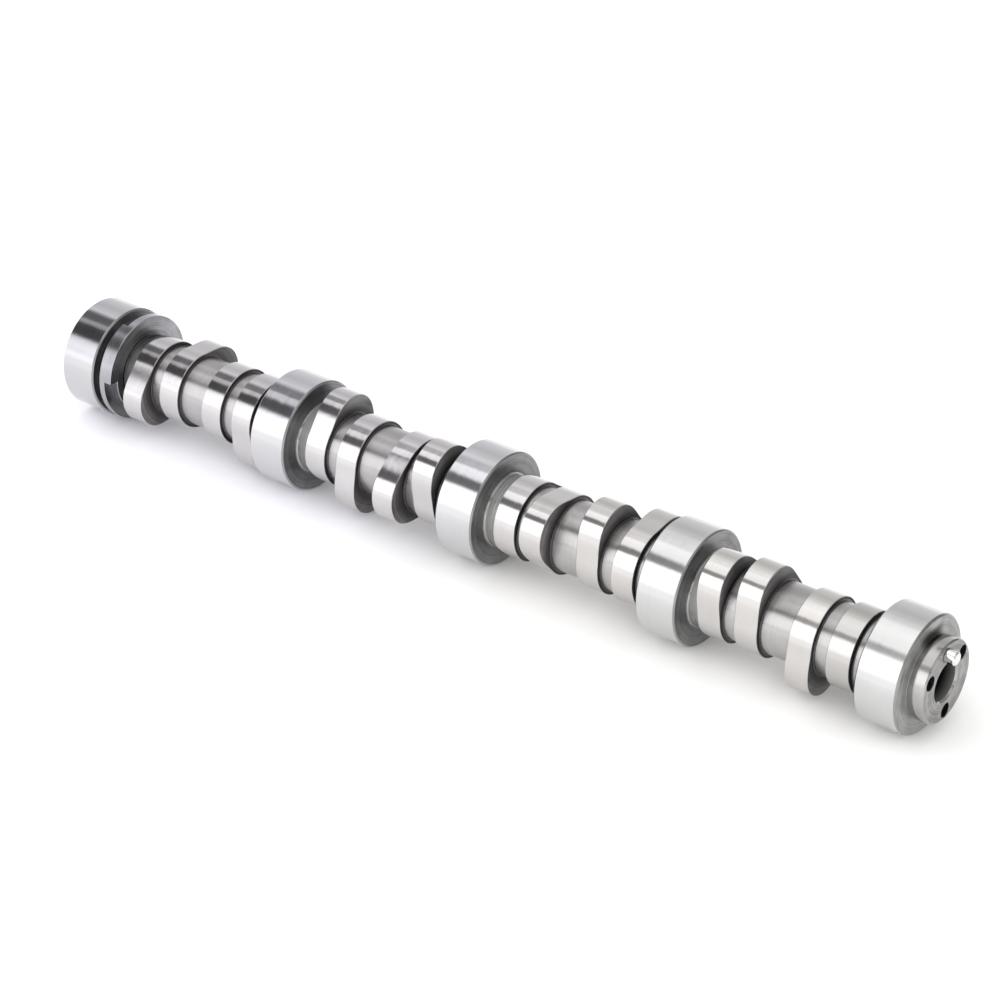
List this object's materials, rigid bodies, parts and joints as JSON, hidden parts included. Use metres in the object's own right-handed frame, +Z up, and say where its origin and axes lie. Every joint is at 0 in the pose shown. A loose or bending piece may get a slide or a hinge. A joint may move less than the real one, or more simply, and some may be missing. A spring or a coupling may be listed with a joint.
{
  "type": "camshaft",
  "caption": "Steel roller camshaft for a pushrod engine: ground bearing journals, cam lobes at staggered angles, a bolted nose with a locating dowel and a two-track sensor ring.",
  "frame": {"origin": "on the shaft's axis, in the middle of the front bearing journal", "axes": "+X along the shaft's axis towards the nose, +Z up as it lies on its journals"},
  "size_m": [0.4918, 0.055, 0.055],
  "materials": {
    "cam_steel": "ground and polished journals and lobes, turned core between them",
    "dowel_steel": "ground hardened steel"
  },
  "bodies": {
    "root": {"camshaft": "cam_steel", "dowel_pin": "dowel_steel"}
  },
  "joints": []
}
